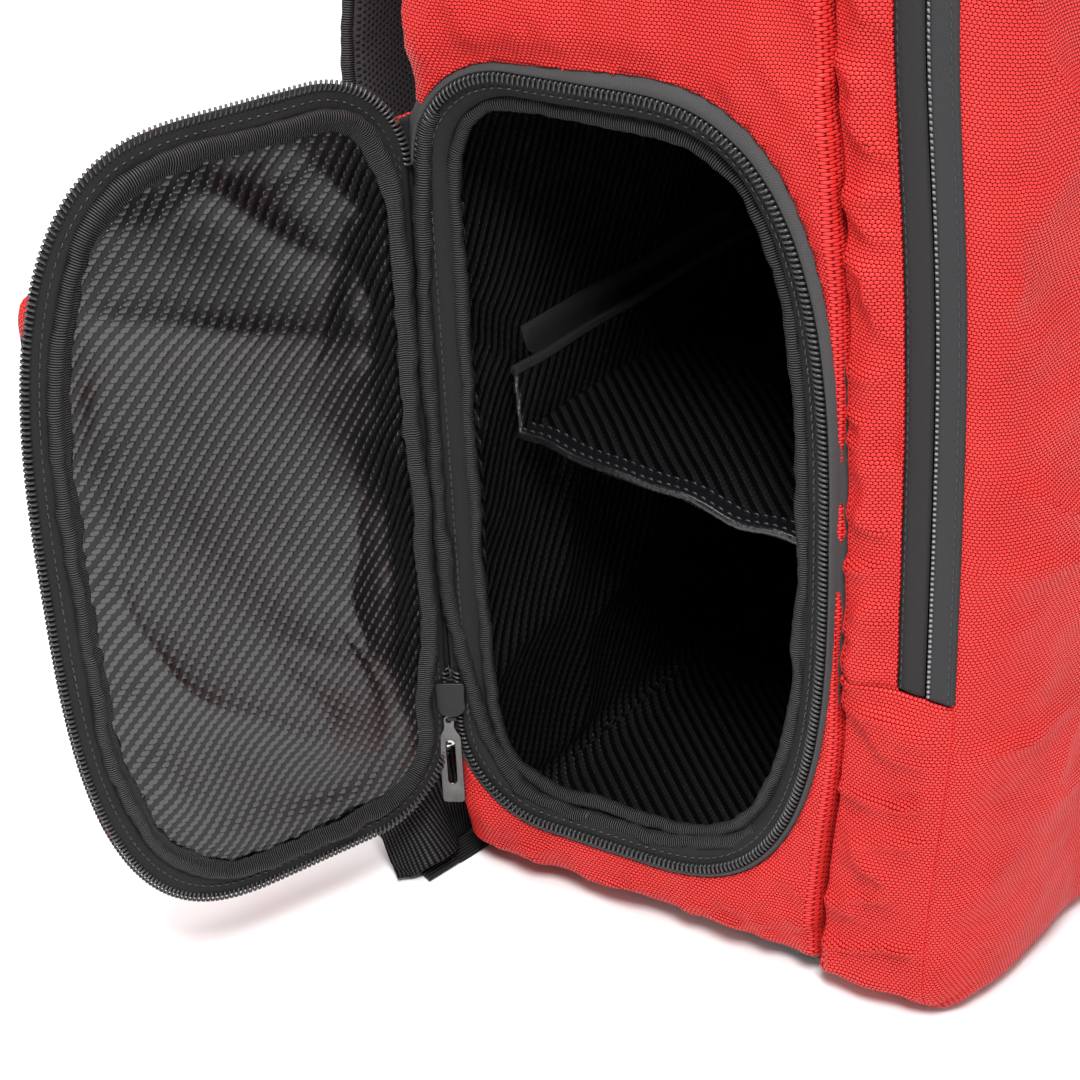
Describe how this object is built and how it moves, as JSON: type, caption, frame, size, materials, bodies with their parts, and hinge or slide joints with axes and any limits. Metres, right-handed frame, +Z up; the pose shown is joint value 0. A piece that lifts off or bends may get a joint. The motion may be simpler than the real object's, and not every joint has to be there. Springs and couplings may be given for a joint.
{
  "type": "ski boot bag",
  "caption": "Backpack-style ski boot bag: a D-shaped zipped door on each side, a divider shelf between the boots, a fold-down front compartment and shoulder straps.",
  "frame": {"origin": "centre of the base on the floor, below the middle of the bag's width; Y = 0 lies 45 mm behind the seam between the boot section and the front section", "axes": "+Z up, -Y the front of the bag, +Y the wearer's back, +X the wearer's right; the open door is on the -X side"},
  "size_m": [0.6879, 0.3965, 0.589],
  "materials": {
    "red_fabric": "woven polyester, matt with a soft sheen",
    "base_rubber": "smooth, satin",
    "coated_lining": "embossed twill, glossy coating",
    "zip_tape": "woven tape with a nylon coil",
    "grosgrain": "fine ribs across, matt",
    "webbing": "heavy ribbed webbing, matt",
    "mesh_padding": "spacer mesh over foam",
    "hook_and_loop": "fuzzy loops",
    "black_acetal": "fine satin",
    "satin_steel": "satin, slightly warm grey"
  },
  "bodies": {
    "bag": {"base_tray": "base_rubber", "boot_shell": "red_fabric", "boot_lining": "coated_lining", "front_compartment": "red_fabric", "front_lower_pocket": "red_fabric", "front_zip_tape": "zip_tape", "hook_strip": "hook_and_loop", "lumbar_pad": "mesh_padding", "left_side_panel": "red_fabric", "right_side_panel": "red_fabric", "left_mouth_zip": "zip_tape", "left_mouth_binding": "grosgrain", "left_hinge_roll": "grosgrain", "left_back_pad": "mesh_padding", "left_shoulder_strap": "mesh_padding", "left_strap_webbing": "webbing", "left_webbing_anchor": "red_fabric", "left_waist_belt": "webbing", "left_belt_tail": "webbing", "right_mouth_zip": "zip_tape", "right_mouth_binding": "grosgrain", "right_hinge_roll": "grosgrain", "right_back_pad": "mesh_padding", "right_shoulder_strap": "mesh_padding", "right_strap_webbing": "webbing", "right_webbing_anchor": "red_fabric", "right_waist_belt": "webbing", "right_belt_tail": "webbing"},
    "left_door": {"left_door_panel": "red_fabric", "left_door_lining": "coated_lining", "left_door_binding": "grosgrain", "left_door_zip": "zip_tape", "left_door_pocket": "red_fabric", "left_pocket_zip": "zip_tape"},
    "left_pocket_slider": {"left_pocket_slider": "black_acetal"},
    "left_pocket_pull": {"left_pocket_pull": "satin_steel"},
    "left_zip_slider": {"left_zip_slider": "black_acetal"},
    "left_zip_pull": {"left_zip_pull": "satin_steel"},
    "left_front_slider": {"left_front_slider": "black_acetal"},
    "left_front_pull": {"left_front_pull": "satin_steel"},
    "left_ladder_lock": {"left_ladder_lock": "black_acetal"},
    "right_door": {"right_door_panel": "red_fabric", "right_door_lining": "coated_lining", "right_door_binding": "grosgrain", "right_door_zip": "zip_tape", "right_door_pocket": "red_fabric", "right_pocket_zip": "zip_tape"},
    "right_pocket_slider": {"right_pocket_slider": "black_acetal"},
    "right_pocket_pull": {"right_pocket_pull": "satin_steel"},
    "right_zip_slider": {"right_zip_slider": "black_acetal"},
    "right_zip_pull": {"right_zip_pull": "satin_steel"},
    "right_front_slider": {"right_front_slider": "black_acetal"},
    "right_front_pull": {"right_front_pull": "satin_steel"},
    "right_ladder_lock": {"right_ladder_lock": "black_acetal"},
    "front_flap": {"front_flap": "red_fabric", "flap_zip_tape": "zip_tape"},
    "divider": {"divider_shelf": "coated_lining", "divider_flange": "coated_lining"},
    "handle": {"grab_handle": "webbing"}
  },
  "joints": [
    {"name": "left_door_hinge", "type": "hinge", "parent": "bag", "child": "left_door", "pos_m": [-0.218, 0.16, 0], "axis": [0, 0, -1], "range_deg": [-112, 30]},
    {"name": "left_pocket_zip_slide", "type": "slide", "parent": "left_door", "child": "left_pocket_slider", "axis": [0, 0, 1], "range_m": [-0.145, 0.06]},
    {"name": "left_pocket_pull_swing", "type": "hinge", "parent": "left_pocket_slider", "child": "left_pocket_pull", "pos_m": [-0.38455, 0.23706, 0.2515], "axis": [0.2924, 0.9563, 0], "range_deg": [-3, 95]},
    {"name": "left_zip_travel", "type": "hinge", "parent": "bag", "child": "left_zip_slider", "pos_m": [-0.21364, 0.11019, 0.09], "axis": [-0.9962, -0.0872, 0], "range_deg": [0, 75]},
    {"name": "left_zip_pull_swing", "type": "hinge", "parent": "left_zip_slider", "child": "left_zip_pull", "pos_m": [-0.22303, 0.16006, 0.0911], "axis": [-0.0872, 0.9962, 0], "range_deg": [-4, 95]},
    {"name": "left_front_zip_slide", "type": "slide", "parent": "bag", "child": "left_front_slider", "axis": [-1, 0, 0], "range_m": [0, 0.14]},
    {"name": "left_front_pull_lift", "type": "hinge", "parent": "left_front_slider", "child": "left_front_pull", "pos_m": [-0.0225, -0.0785, 0.5516], "axis": [0, 1, 0], "range_deg": [0, 95]},
    {"name": "left_strap_adjust", "type": "slide", "parent": "bag", "child": "left_ladder_lock", "axis": [0.1519, 0.1519, 0.9766], "range_m": [-0.022, 0.008]},
    {"name": "right_door_hinge", "type": "hinge", "parent": "bag", "child": "right_door", "pos_m": [0.218, 0.16, 0], "axis": [0, 0, 1], "range_deg": [0, 142]},
    {"name": "right_pocket_zip_slide", "type": "slide", "parent": "right_door", "child": "right_pocket_slider", "axis": [0, 0, 1], "range_m": [-0.145, 0.06]},
    {"name": "right_pocket_pull_swing", "type": "hinge", "parent": "right_pocket_slider", "child": "right_pocket_pull", "pos_m": [0.22706, -0.02329, 0.2515], "axis": [-0.9962, 0.0872, 0], "range_deg": [-3, 95]},
    {"name": "right_zip_travel", "type": "hinge", "parent": "bag", "child": "right_zip_slider", "pos_m": [0.21364, 0.11019, 0.09], "axis": [-0.9962, 0.0872, 0], "range_deg": [0, 75]},
    {"name": "right_zip_pull_swing", "type": "hinge", "parent": "right_zip_slider", "child": "right_zip_pull", "pos_m": [0.22303, 0.16006, 0.0911], "axis": [-0.0872, -0.9962, 0], "range_deg": [-4, 95]},
    {"name": "right_front_zip_slide", "type": "slide", "parent": "bag", "child": "right_front_slider", "axis": [1, 0, 0], "range_m": [0, 0.14]},
    {"name": "right_front_pull_lift", "type": "hinge", "parent": "right_front_slider", "child": "right_front_pull", "pos_m": [0.0225, -0.0785, 0.5516], "axis": [0, -1, 0], "range_deg": [0, 95]},
    {"name": "right_strap_adjust", "type": "slide", "parent": "bag", "child": "right_ladder_lock", "axis": [-0.1519, 0.1519, 0.9766], "range_m": [-0.022, 0.008]},
    {"name": "front_flap_hinge", "type": "hinge", "parent": "bag", "child": "front_flap", "pos_m": [0, -0.125, 0.177], "axis": [1, 0, 0], "range_deg": [0, 112]},
    {"name": "divider_fold", "type": "hinge", "parent": "bag", "child": "divider", "pos_m": [0, -0.0385, 0.224], "axis": [1, 0, 0], "range_deg": [-78, 0]},
    {"name": "handle_tip", "type": "hinge", "parent": "bag", "child": "handle", "pos_m": [0, 0.1, 0.5562], "axis": [1, 0, 0], "range_deg": [-75, 75]}
  ]
}
